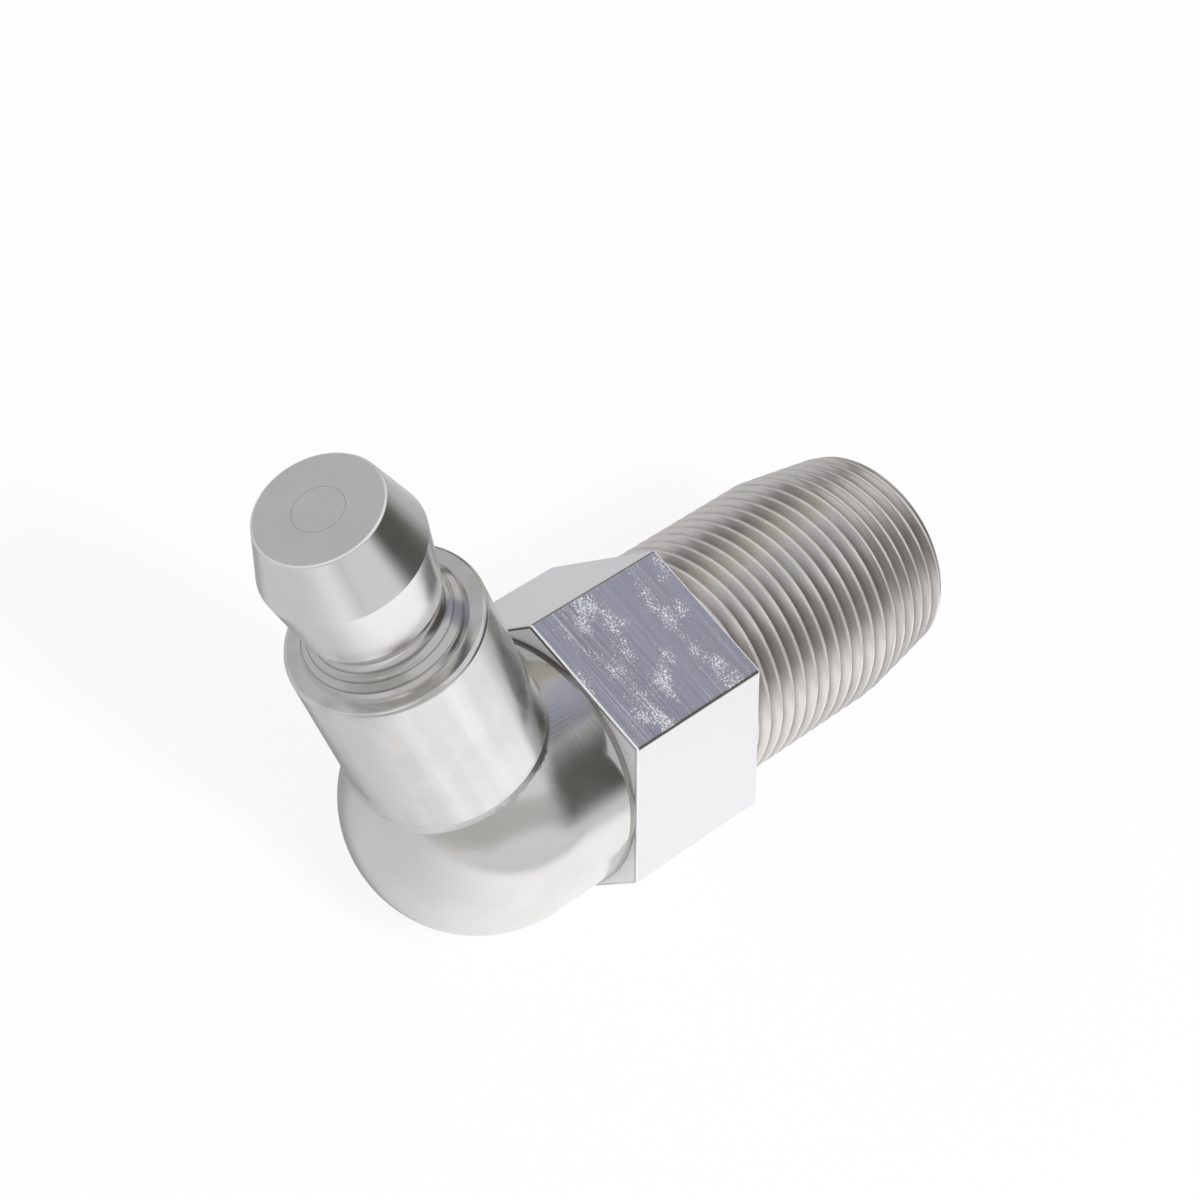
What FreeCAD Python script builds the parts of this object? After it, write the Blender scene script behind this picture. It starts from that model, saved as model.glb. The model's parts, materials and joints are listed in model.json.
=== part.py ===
import FreeCAD, Part
import math
import os

# Elbow grease nipple, bent 65 degrees from straight. Millimetres, +Z up.
# The origin is the centre of the hexagon's thread-side face, on the thread's axis, and the thread
# runs out along +X. The nipple rests on one flat of its hexagon, so the head leans over by REST_TURN.

# Hexagon and thread
HEX_AF = 11.1            # across the flats
HEX_LENGTH = 7.3
HEX_EDGE = 0.1           # narrow chamfer on every edge of the hexagon
THREAD_D = 10.3          # over the crests
THREAD_PARALLEL = 9.1    # length at full diameter
LEAD_LENGTH = 4.2        # tapered start of the thread
LEAD_END_D = 9.0
LEAD_EDGE = 0.15         # broken edge of the shank's end

# Elbow, turned down from the hexagon's own bar
ARM_LENGTH = 3.03        # from the hexagon to the elbow's centre
ARM_CUT = 0.11           # how far the arm and the ball lie below the flats
LAND_HEIGHT = 0.24       # washer face on the elbow side of the hexagon
LAND_CUT = 0.05
LAND_EDGE = 0.08
BEND = 65.0              # degrees away from a straight nipple
REST_TURN = 30.0         # degrees from a corner of the hexagon to the middle of its flat

# Boss that carries the head
BOSS_D = 7.92
BOSS_HEIGHT = 11.2       # from the elbow's centre to the shoulder
BOSS_EDGE = 0.2
JUNCTION_FILLET = 0.12   # where the boss meets the ball

# Grease passage
PASSAGE_D = 3.0
OUTLET_CHAMFER = 0.4
DRILL_POINT = 118.0      # included angle of the drill's point

# Coupler head, measured up from the shoulder
HEAD_HEIGHT = 7.17
HEAD_D = 6.56            # widest circle, which the coupler's jaws close behind
HEAD_D_HEIGHT = 4.66
FACE_D = 5.09            # front face before its edge is rounded
FACE_EDGE = 0.2
NECK_D = 4.96
NECK_TOP_D = 5.66
NECK_TOP_HEIGHT = 1.8
NECK_FOOT_HEIGHT = 0.6
COLLAR_TOP_D = 6.34
COLLAR_EDGE_HEIGHT = 0.28
COLLAR_D = 6.56

# Tail that is pressed into the boss
TAIL_D = 5.2
TAIL_LENGTH = 4.6
TAIL_CHAMFER = 0.3
PRESS_INTERFERENCE = 0.01
TAIL_END_GAP = 0.2       # free depth of the bore under the tail

# Check valve inside the head
NOSE_D = 2.0             # plunger's nose, flush with the front face
NOSE_CLEARANCE = 0.02
MOUTH_LENGTH = 0.6
CHAMBER_D = 3.4
GUIDE_CLEARANCE = 0.06
GUIDE_LENGTH = 1.5
GUIDE_FLATS = 3          # flats that let the grease past the guide
FLAT_DEPTH = 0.45
SEAT_GAP = 0.02          # along the axis, between the plunger's cone and its seat
PILOT_D = 2.0            # stem inside the spring
PILOT_LENGTH = 1.4
LIP_BORE_D = 2.0         # tail's edge, rolled in under the spring
LIP_LENGTH = 0.5

# Spring
WIRE_D = 0.3
SPRING_D = 2.9           # over the coils
SPRING_TURNS = 8         # the first and the last are closed coils
CLOSED_COIL_GAP = 0.02
SPRING_END_GAP = 0.02
COIL_STEPS = 12          # straight lengths in one turn
WIRE_SIDES = 10          # facets round the wire

X_AXIS = FreeCAD.Vector(1, 0, 0)
Y_AXIS = FreeCAD.Vector(0, 1, 0)
Z_AXIS = FreeCAD.Vector(0, 0, 1)
ORIGIN = FreeCAD.Vector(0, 0, 0)

HEX_R = HEX_AF / math.sqrt(3.0)
ELBOW_R = HEX_AF / 2.0 - ARM_CUT
ELBOW_X = -(HEX_LENGTH + ARM_LENGTH)
SHANK_LENGTH = THREAD_PARALLEL + LEAD_LENGTH
SEAT_TOP = HEAD_HEIGHT - MOUTH_LENGTH
MOUTH_R = NOSE_D / 2.0 + NOSE_CLEARANCE
GUIDE_R = CHAMBER_D / 2.0 - GUIDE_CLEARANCE
GUIDE_FOOT = SEAT_TOP - SEAT_GAP - (GUIDE_R - NOSE_D / 2.0) - GUIDE_LENGTH


def point(radius, height):
    """Point of a turned profile, in the XZ plane."""
    return FreeCAD.Vector(radius, 0, height)


def line(start, end):
    return Part.LineSegment(point(*start), point(*end)).toShape()


def arc(start, middle, end):
    return Part.Arc(point(*start), point(*middle), point(*end)).toShape()


def chain(points):
    """Straight edges through (radius, height) points."""
    return [line(a, b) for a, b in zip(points, points[1:])]


def turned(edges):
    """Solid of revolution about Z from the edges of a closed profile."""
    face = Part.Face(Part.Wire(edges))
    return face.revolve(ORIGIN, Z_AXIS, 360)


def along_thread(shape):
    """Turns a shape made along +Z so that it runs along +X."""
    turned_shape = shape.copy()
    turned_shape.rotate(ORIGIN, Y_AXIS, 90)
    return turned_shape


def on_head_axis(shape, height=0.0):
    """Puts a shape made along +Z on the head's axis, its zero at a height above the elbow's centre."""
    placed = shape.copy()
    placed.translate(FreeCAD.Vector(0, 0, height))
    placed.rotate(ORIGIN, Y_AXIS, -(90.0 - BEND))
    placed.rotate(ORIGIN, X_AXIS, -REST_TURN)
    placed.translate(FreeCAD.Vector(ELBOW_X, 0, 0))
    return placed


def ring_edges(shape, radius, height, tolerance=0.001):
    """Circular edges of a shape made along +Z, found by their radius and height."""
    found = []
    for edge in shape.Edges:
        if not isinstance(edge.Curve, Part.Circle):
            continue
        at_height = abs(edge.Curve.Center.z - height) < tolerance
        if at_height and abs(edge.Curve.Radius - radius) < tolerance:
            found.append(edge)
    return found


def hexagon():
    """The spanner hexagon, with a flat facing straight down and every edge broken."""
    corners = []
    for i in range(7):
        angle = math.radians(60.0 * i)
        corners.append(FreeCAD.Vector(0, HEX_R * math.cos(angle), HEX_R * math.sin(angle)))
    outline = Part.Face(Part.makePolygon(corners))
    prism = outline.extrude(FreeCAD.Vector(-HEX_LENGTH, 0, 0))
    return prism.makeChamfer(HEX_EDGE, prism.Edges)


def turned_bar():
    """Everything turned about the thread's axis in one piece: ball end, arm, washer face and shank."""
    land_r = HEX_AF / 2.0 - LAND_CUT
    land_x = -HEX_LENGTH - LAND_HEIGHT
    diagonal = ELBOW_R * math.sqrt(0.5)
    pole = (0, ELBOW_X - ELBOW_R)
    edges = [arc(pole, (diagonal, ELBOW_X - diagonal), (ELBOW_R, ELBOW_X))]
    edges += chain([
        (ELBOW_R, ELBOW_X),
        (ELBOW_R, land_x),
        (land_r - LAND_EDGE, land_x),
        (land_r, land_x + LAND_EDGE),
        (land_r, -HEX_LENGTH / 2.0),
        (THREAD_D / 2.0, -HEX_LENGTH / 2.0),
        (THREAD_D / 2.0, THREAD_PARALLEL),
        (LEAD_END_D / 2.0, SHANK_LENGTH - LEAD_EDGE),
        (LEAD_END_D / 2.0 - LEAD_EDGE, SHANK_LENGTH),
        (0, SHANK_LENGTH),
        pole,
    ])
    return along_thread(turned(edges))


def boss():
    """The cylinder on the ball that carries the head, with its rounded shoulder edge."""
    cylinder = Part.makeCylinder(BOSS_D / 2.0, BOSS_HEIGHT)
    rim = ring_edges(cylinder, BOSS_D / 2.0, BOSS_HEIGHT)
    return on_head_axis(cylinder.makeFillet(BOSS_EDGE, rim))


def round_junction(body, tolerance=0.01):
    """Rounds the inner corner where the boss rises from the ball and the arm."""
    elbow = FreeCAD.Vector(ELBOW_X, 0, 0)
    head = on_head_axis(Part.Vertex(0, 0, 1)).Point - elbow
    seam = []
    for edge in body.Edges:
        middle = edge.valueAt((edge.FirstParameter + edge.LastParameter) / 2.0) - elbow
        up = middle.dot(head)
        out = (middle - head * up).Length
        on_boss = abs(out - BOSS_D / 2.0) < tolerance and 0 < up < ELBOW_R
        if on_boss and not isinstance(edge.Curve, Part.Line):
            seam.append(edge)
    return body.makeFillet(JUNCTION_FILLET, seam)


def drilled(diameter, depth):
    """A drilled hole from z = depth down to z = 0, with the drill's point below zero."""
    radius = diameter / 2.0
    point_depth = radius / math.tan(math.radians(DRILL_POINT / 2.0))
    return turned(chain([(0, -point_depth), (radius, 0), (radius, depth), (0, depth), (0, -point_depth)]))


def grease_passage():
    """Hole through the thread, the crossing hole up the boss and the bore that takes the tail."""
    run = SHANK_LENGTH - ELBOW_X
    through = drilled(PASSAGE_D, run)
    mouth_r = PASSAGE_D / 2.0
    chamfer = turned(chain([
        (0, run - OUTLET_CHAMFER - mouth_r),
        (mouth_r + OUTLET_CHAMFER, run),
        (0, run),
        (0, run - OUTLET_CHAMFER - mouth_r),
    ]))
    main = along_thread(through.fuse(chamfer))
    main.translate(FreeCAD.Vector(ELBOW_X, 0, 0))
    bore_foot = BOSS_HEIGHT - TAIL_LENGTH - TAIL_END_GAP
    cross = on_head_axis(drilled(PASSAGE_D, bore_foot))
    bore_r = TAIL_D / 2.0 - PRESS_INTERFERENCE
    bore = on_head_axis(Part.makeCylinder(bore_r, TAIL_LENGTH + TAIL_END_GAP), bore_foot)
    return main.fuse([cross, bore])


def elbow_body():
    """The one-piece steel elbow."""
    body = turned_bar().fuse([hexagon(), boss()])
    body = round_junction(body.removeSplitter())
    return body.cut(grease_passage())


def nipple_head():
    """The turned head: front face, double cone, neck and collar above the shoulder, tail below it."""
    neck_top = (NECK_TOP_D / 2.0, NECK_TOP_HEIGHT)
    neck_foot = (NECK_TOP_D / 2.0, NECK_FOOT_HEIGHT)
    neck_waist = (NECK_D / 2.0, (NECK_TOP_HEIGHT + NECK_FOOT_HEIGHT) / 2.0)
    seat_foot = SEAT_TOP - (CHAMBER_D / 2.0 - MOUTH_R)
    edges = chain([
        (LIP_BORE_D / 2.0, -TAIL_LENGTH),
        (TAIL_D / 2.0 - TAIL_CHAMFER, -TAIL_LENGTH),
        (TAIL_D / 2.0, -TAIL_LENGTH + TAIL_CHAMFER),
        (TAIL_D / 2.0, 0),
        (COLLAR_D / 2.0, 0),
        (COLLAR_TOP_D / 2.0, COLLAR_EDGE_HEIGHT),
        neck_foot,
    ])
    edges.append(arc(neck_foot, neck_waist, neck_top))
    edges += chain([
        neck_top,
        (HEAD_D / 2.0, HEAD_D_HEIGHT),
        (FACE_D / 2.0, HEAD_HEIGHT),
        (MOUTH_R, HEAD_HEIGHT),
        (MOUTH_R, SEAT_TOP),
        (CHAMBER_D / 2.0, seat_foot),
        (CHAMBER_D / 2.0, -TAIL_LENGTH + LIP_LENGTH),
        (LIP_BORE_D / 2.0, -TAIL_LENGTH + LIP_LENGTH),
        (LIP_BORE_D / 2.0, -TAIL_LENGTH),
    ])
    head = turned(edges)
    head = head.makeFillet(FACE_EDGE, ring_edges(head, FACE_D / 2.0, HEAD_HEIGHT))
    return on_head_axis(head, BOSS_HEIGHT)


def check_plunger():
    """The flat-nosed valve plunger: nose, sealing cone, guide with flats and the spring's pilot."""
    nose_r = NOSE_D / 2.0
    cone_top = SEAT_TOP - SEAT_GAP
    cone_foot = cone_top - (GUIDE_R - nose_r)
    pilot_foot = GUIDE_FOOT - PILOT_LENGTH
    plunger = turned(chain([
        (0, pilot_foot),
        (PILOT_D / 2.0, pilot_foot),
        (PILOT_D / 2.0, GUIDE_FOOT),
        (GUIDE_R, GUIDE_FOOT),
        (GUIDE_R, cone_foot),
        (nose_r, cone_top),
        (nose_r, HEAD_HEIGHT),
        (0, HEAD_HEIGHT),
        (0, pilot_foot),
    ]))
    corner = FreeCAD.Vector(GUIDE_R - FLAT_DEPTH, -GUIDE_R, GUIDE_FOOT)
    for i in range(GUIDE_FLATS):
        cutter = Part.makeBox(GUIDE_R, 2.0 * GUIDE_R, cone_top - GUIDE_FOOT, corner)
        cutter.rotate(ORIGIN, Z_AXIS, i * 360.0 / GUIDE_FLATS)
        plunger = plunger.cut(cutter)
    return on_head_axis(plunger, BOSS_HEIGHT)


def round_axis(radius, turn, height):
    """Point at a radius, a number of turns round the Z axis and a height."""
    angle = 2.0 * math.pi * turn
    return FreeCAD.Vector(radius * math.cos(angle), radius * math.sin(angle), height)


def wire_centre(turn, length):
    """Centre of the spring's wire after a number of turns, with one closed coil at each end."""
    closed_pitch = WIRE_D + CLOSED_COIL_GAP
    open_turns = SPRING_TURNS - 2.0
    open_pitch = (length - WIRE_D - 2.0 * closed_pitch) / open_turns
    height = WIRE_D / 2.0 + closed_pitch * min(turn, 1.0)
    height += open_pitch * min(max(turn - 1.0, 0.0), open_turns)
    height += closed_pitch * max(turn - 1.0 - open_turns, 0.0)
    return round_axis((SPRING_D - WIRE_D) / 2.0, turn, height)


def wire_section(turn, length):
    """Cross-section of the wire, a polygon square to the coil, with a corner on the coil's outside."""
    centre = wire_centre(turn, length)
    outward = round_axis(1.0, turn, 0.0)
    half_step = 0.5 / COIL_STEPS
    run = wire_centre(turn + half_step, length) - wire_centre(turn - half_step, length)
    upward = outward.cross(run.normalize())
    corners = []
    for i in range(WIRE_SIDES):
        angle = 2.0 * math.pi * i / WIRE_SIDES
        offset = outward * math.cos(angle) + upward * math.sin(angle)
        corners.append(centre + offset * (WIRE_D / 2.0))
    return Part.makePolygon(corners + corners[:1])


def plunger_spring():
    """Compression spring between the tail's rolled lip and the plunger's guide."""
    foot = -TAIL_LENGTH + LIP_LENGTH + SPRING_END_GAP
    length = GUIDE_FOOT - SPRING_END_GAP - foot
    steps = int(SPRING_TURNS * COIL_STEPS)
    sections = [wire_section(i / COIL_STEPS, length) for i in range(steps + 1)]
    coil = Part.makeLoft(sections, True, True)
    return on_head_axis(coil, BOSS_HEIGHT + foot)


def main():
    os.makedirs("parts", exist_ok=True)
    nodes = {
        "elbow_body": elbow_body(),
        "nipple_head": nipple_head(),
        "check_plunger": check_plunger(),
        "plunger_spring": plunger_spring(),
    }
    for name, shape in nodes.items():
        solids = shape.Solids
        print(name, len(solids), "solid", round(shape.Volume, 3), "mm3", shape.isValid())
        shape.exportStep(os.path.join("parts", name + ".step"))


main()
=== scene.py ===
import json
import math

import bpy
from mathutils import Matrix, Vector


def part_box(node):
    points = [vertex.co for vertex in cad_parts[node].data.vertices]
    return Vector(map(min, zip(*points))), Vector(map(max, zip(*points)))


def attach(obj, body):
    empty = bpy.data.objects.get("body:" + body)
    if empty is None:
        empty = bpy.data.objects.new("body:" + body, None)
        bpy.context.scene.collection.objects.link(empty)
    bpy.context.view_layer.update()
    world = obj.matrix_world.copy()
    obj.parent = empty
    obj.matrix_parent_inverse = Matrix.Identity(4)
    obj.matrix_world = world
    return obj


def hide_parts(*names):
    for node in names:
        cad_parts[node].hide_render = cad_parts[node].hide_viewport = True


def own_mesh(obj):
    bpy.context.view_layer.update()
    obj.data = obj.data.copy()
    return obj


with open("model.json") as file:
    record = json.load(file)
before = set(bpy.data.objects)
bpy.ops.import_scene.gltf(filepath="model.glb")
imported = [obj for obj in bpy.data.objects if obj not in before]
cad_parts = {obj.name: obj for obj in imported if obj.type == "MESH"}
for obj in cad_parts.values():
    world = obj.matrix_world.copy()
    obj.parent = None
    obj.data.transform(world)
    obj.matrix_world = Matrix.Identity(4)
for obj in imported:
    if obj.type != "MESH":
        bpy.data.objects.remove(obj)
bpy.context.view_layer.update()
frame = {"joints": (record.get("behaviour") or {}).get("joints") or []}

# Elbow body
# One steel piece, turned and milled from hexagon bar, then bright plated: threaded shank, hexagon
# with its washer face, arm, ball and the boss that the head is pressed into.
MM = 0.001
HEX_AF = 11.1 * MM
HEX_LENGTH = 7.3 * MM
HEX_EDGE = 0.12 * MM
THREAD_R = 5.15 * MM
THREAD_PARALLEL = 9.1 * MM
THREAD_PITCH = 0.735 * MM
VALLEY_DEPTH = 0.025 * MM
CREST_HEIGHT = 0.035 * MM
CREST_WIDTH = 0.05 * MM
THREAD_RUN_IN = 1.45 * MM
LEAD_END_R = 4.5 * MM
END_EDGE = 0.15 * MM
ARM_LENGTH = 3.03 * MM
ARM_CUT = 0.11 * MM
LAND_HEIGHT = 0.24 * MM
LAND_CUT = 0.05 * MM
LAND_EDGE = 0.08 * MM
BEND = math.radians(65)
REST_TURN = math.radians(30)
BOSS_R = 3.96 * MM
BOSS_HEIGHT = 11.2 * MM
BOSS_EDGE = 0.2 * MM
JUNCTION_WIDTH = 0.1 * MM
PASSAGE_R = 1.5 * MM
OUTLET_CHAMFER = 0.4 * MM
DRILL_POINT = 0.9 * MM
TAIL_R = 2.6 * MM
TAIL_LENGTH = 4.6 * MM
TAIL_END_GAP = 0.2 * MM
OVERLAP = 0.5 * MM
SIDES = 192
THREAD_STEPS = 120
SPARE_TURNS = 4
POLE_ANGLE = -89
MERGE_WITHIN = 0.0002 * MM
SCREW_MERGE_WITHIN = 0.001 * MM
CUT_WITHIN = 0.0001 * MM

BALL_R = HEX_AF / 2 - ARM_CUT
ELBOW_X = -(HEX_LENGTH + ARM_LENGTH)
SHANK_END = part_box("elbow_body")[1].x
THREAD_TURN = Matrix.Rotation(math.pi / 2, 4, "Y")
HEAD_TURN = Matrix.Rotation(-REST_TURN, 4, "X") @ Matrix.Rotation(BEND - math.pi / 2, 4, "Y")
HEAD_PLACE = Matrix.Translation((ELBOW_X, 0, 0)) @ HEAD_TURN


def select_only(piece):
    """Leaves one piece selected and active, because an operator acts on all that is selected."""
    bpy.ops.object.select_all(action="DESELECT")
    piece.select_set(True)
    bpy.context.view_layer.objects.active = piece


def place(piece, matrix):
    """Turns and moves a piece that was made along +Z, and applies that to its mesh."""
    select_only(piece)
    piece.matrix_world = matrix
    bpy.ops.object.transform_apply(location=True, rotation=True, scale=True)


def turned(name, stations, through_bore=False):
    """Turns a piece about Z: a ring is drawn out from one (radius, height) to the next. With a bore
    through the piece, the ring comes back to where it began."""
    bpy.ops.object.select_all(action="DESELECT")
    radius, height = stations[0]
    fill = "NOTHING" if through_bore else "NGON"
    bpy.ops.mesh.primitive_circle_add(vertices=SIDES, radius=radius, fill_type=fill)
    piece = bpy.context.object
    piece.name = name
    bpy.ops.object.mode_set(mode="EDIT")
    bpy.ops.transform.translate(value=(0, 0, height))
    for next_radius, next_height in stations[1:]:
        step = (0, 0, next_height - height)
        bpy.ops.mesh.extrude_region_move(TRANSFORM_OT_translate={"value": step})
        widening = next_radius / radius
        bpy.ops.transform.resize(value=(widening, widening, 1), center_override=(0, 0, next_height))
        radius, height = next_radius, next_height
    bpy.ops.mesh.select_all(action="SELECT")
    bpy.ops.mesh.remove_doubles(threshold=MERGE_WITHIN)
    bpy.ops.mesh.normals_make_consistent(inside=False)
    bpy.ops.object.mode_set(mode="OBJECT")
    return piece


def arc(centre, radius, start, end, steps):
    """Stations on a circle round a (radius, height) centre, between two angles in degrees."""
    angles = [math.radians(start + (end - start) * i / steps) for i in range(steps + 1)]
    return [(centre[0] + radius * math.cos(a), centre[1] + radius * math.sin(a)) for a in angles]


def combine(piece, operation, other):
    """Joins another solid to a piece, or cuts it away, and deletes the other."""
    select_only(piece)
    modifier = piece.modifiers.new("combine", "BOOLEAN")
    modifier.operation = operation
    modifier.solver = "EXACT"
    modifier.object = other
    bpy.ops.object.modifier_apply(modifier=modifier.name)
    bpy.data.objects.remove(other)
    bpy.ops.object.mode_set(mode="EDIT")
    bpy.ops.mesh.select_all(action="SELECT")
    bpy.ops.mesh.remove_doubles(threshold=MERGE_WITHIN)
    bpy.ops.object.mode_set(mode="OBJECT")


def hexagon():
    """The spanner hexagon, two flats level, every edge rounded."""
    bpy.ops.object.select_all(action="DESELECT")
    bpy.ops.mesh.primitive_cylinder_add(vertices=6, radius=HEX_AF / math.sqrt(3), depth=HEX_LENGTH)
    piece = bpy.context.object
    place(piece, Matrix.Translation((-HEX_LENGTH / 2, 0, 0)) @ THREAD_TURN)
    bpy.ops.object.mode_set(mode="EDIT")
    bpy.ops.mesh.select_all(action="SELECT")
    bpy.ops.mesh.bevel(offset=HEX_EDGE, segments=4, affect="EDGES")
    bpy.ops.object.mode_set(mode="OBJECT")
    return piece


def crest_outline():
    """One pitch of the thread as (radius, height): a narrow round crest amid a wide hollow valley."""
    fractions = (0.5, 0.42, 0.34, 0.27, 0.21, 0.16, 0.12, 0.09, 0.06, 0.03)
    outline = []
    for fraction in [-f for f in fractions] + [0] + list(reversed(fractions)):
        height = fraction * THREAD_PITCH
        valley = 1 - (1 - 2 * abs(fraction)) ** 2
        crest = math.exp(-((height / CREST_WIDTH) ** 2))
        outline.append((THREAD_R - VALLEY_DEPTH * valley - CREST_HEIGHT * (1 - crest), height))
    return outline


def thread():
    """The right-handed thread: one pitch screwed along the axis, cut flat at both ends."""
    bpy.ops.object.select_all(action="DESELECT")
    bpy.ops.mesh.primitive_plane_add(size=MM)
    piece = bpy.context.object
    bpy.ops.object.mode_set(mode="EDIT")
    bpy.ops.mesh.merge(type="CENTER")
    outline = crest_outline()
    bpy.ops.transform.translate(value=(outline[0][0], 0, outline[0][1] - THREAD_RUN_IN))
    for (radius, height), (next_radius, next_height) in zip(outline, outline[1:]):
        step = (next_radius - radius, 0, next_height - height)
        bpy.ops.mesh.extrude_region_move(TRANSFORM_OT_translate={"value": step})
    bpy.ops.object.mode_set(mode="OBJECT")
    screw = piece.modifiers.new("screw", "SCREW")
    screw.screw_offset = THREAD_PITCH
    screw.iterations = math.ceil(SHANK_END / THREAD_PITCH) + SPARE_TURNS
    screw.steps = THREAD_STEPS
    screw.render_steps = THREAD_STEPS
    bpy.ops.object.modifier_apply(modifier=screw.name)
    bpy.ops.object.mode_set(mode="EDIT")
    bpy.ops.mesh.select_all(action="SELECT")
    bpy.ops.mesh.remove_doubles(threshold=SCREW_MERGE_WITHIN)
    for cut, keeps_above in ((-OVERLAP, True), (SHANK_END - END_EDGE, False)):
        bpy.ops.mesh.select_all(action="SELECT")
        bpy.ops.mesh.bisect(
            plane_co=(0, 0, cut),
            plane_no=(0, 0, 1),
            use_fill=True,
            clear_inner=keeps_above,
            clear_outer=not keeps_above,
            threshold=CUT_WITHIN,
        )
    bpy.ops.mesh.extrude_region_move(TRANSFORM_OT_translate={"value": (0, 0, END_EDGE)})
    end_size = 1 - END_EDGE / THREAD_R
    bpy.ops.transform.resize(value=(end_size, end_size, 1), center_override=(0, 0, SHANK_END))
    bpy.ops.mesh.select_all(action="SELECT")
    bpy.ops.mesh.normals_make_consistent(inside=False)
    bpy.ops.object.mode_set(mode="OBJECT")
    taper = (THREAD_R - LEAD_END_R) / (SHANK_END - THREAD_PARALLEL) / THREAD_R
    for vertex in piece.data.vertices:
        narrowing = 1 - taper * max(vertex.co.z - THREAD_PARALLEL, 0)
        vertex.co.x *= narrowing
        vertex.co.y *= narrowing
    place(piece, THREAD_TURN)
    return piece


def body_top(side, front):
    """Height above the elbow's centre, along the head's axis, at which the ball or the arm ends."""
    start = HEAD_TURN @ Vector((side, front, 0))
    rise = HEAD_TURN @ Vector((0, 0, 1))
    on_ball = math.sqrt(BALL_R**2 - side**2 - front**2)
    if (start + rise * on_ball).x <= 0:
        return on_ball
    square = rise.y**2 + rise.z**2
    half = start.y * rise.y + start.z * rise.z
    rest = start.y**2 + start.z**2 - BALL_R**2
    return (math.sqrt(half**2 - square * rest) - half) / square


def junction():
    """The narrow ring that breaks the inner corner where the boss rises from the ball and arm."""
    inner_r = BOSS_R - 0.5 * JUNCTION_WIDTH
    outer_r = BOSS_R + 1.5 * JUNCTION_WIDTH
    top = (inner_r, 1.5 * JUNCTION_WIDTH)
    foot = (inner_r, -4 * JUNCTION_WIDTH)
    rim = (outer_r, -0.5 * JUNCTION_WIDTH)
    piece = turned("junction", [top, rim, foot, top], through_bore=True)
    for vertex in piece.data.vertices:
        vertex.co.z += body_top(vertex.co.x, vertex.co.y)
    place(piece, HEAD_PLACE)
    return piece


land_r = HEX_AF / 2 - LAND_CUT
land_foot = -HEX_LENGTH - LAND_HEIGHT
bar_stations = arc((0, ELBOW_X), BALL_R, POLE_ANGLE, 0, 60)
bar_stations += [
    (BALL_R, land_foot),
    (land_r - LAND_EDGE, land_foot),
    (land_r, land_foot + LAND_EDGE),
    (land_r, OVERLAP - HEX_LENGTH),
]
elbow = turned("elbow", bar_stations)
place(elbow, THREAD_TURN)
combine(elbow, "UNION", hexagon())
combine(elbow, "UNION", thread())
drill_tip_r = 0.01 * PASSAGE_R
outlet_r = PASSAGE_R + OUTLET_CHAMFER
passage_stations = [
    (drill_tip_r, ELBOW_X - DRILL_POINT),
    (PASSAGE_R, ELBOW_X),
    (PASSAGE_R, SHANK_END - OUTLET_CHAMFER),
    (outlet_r, SHANK_END),
    (outlet_r, SHANK_END + OVERLAP),
]
passage = turned("passage", passage_stations)
place(passage, THREAD_TURN)
combine(elbow, "DIFFERENCE", passage)
boss_stations = [(BOSS_R, BALL_R / 2)]
boss_stations += arc((BOSS_R - BOSS_EDGE, BOSS_HEIGHT - BOSS_EDGE), BOSS_EDGE, 0, 90, 6)
boss = turned("boss", boss_stations)
place(boss, HEAD_PLACE)
combine(elbow, "UNION", boss)
combine(elbow, "UNION", junction())
bore_foot = BOSS_HEIGHT - TAIL_LENGTH - TAIL_END_GAP
bore_stations = [
    (PASSAGE_R, 0),
    (PASSAGE_R, bore_foot),
    (TAIL_R, bore_foot),
    (TAIL_R, BOSS_HEIGHT + OVERLAP),
]
bore = turned("bore", bore_stations)
place(bore, HEAD_PLACE)
combine(elbow, "DIFFERENCE", bore)


class Value:
    """A shader socket on which arithmetic adds Math nodes."""

    def __init__(self, shader, socket):
        self.shader = shader
        self.socket = socket

    def __add__(self, other):
        return self.shader.math("ADD", self, other)

    def __sub__(self, other):
        return self.shader.math("SUBTRACT", self, other)

    def __rsub__(self, other):
        return self.shader.math("SUBTRACT", other, self)

    def __mul__(self, other):
        return self.shader.math("MULTIPLY", self, other)

    __radd__ = __add__
    __rmul__ = __mul__


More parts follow.
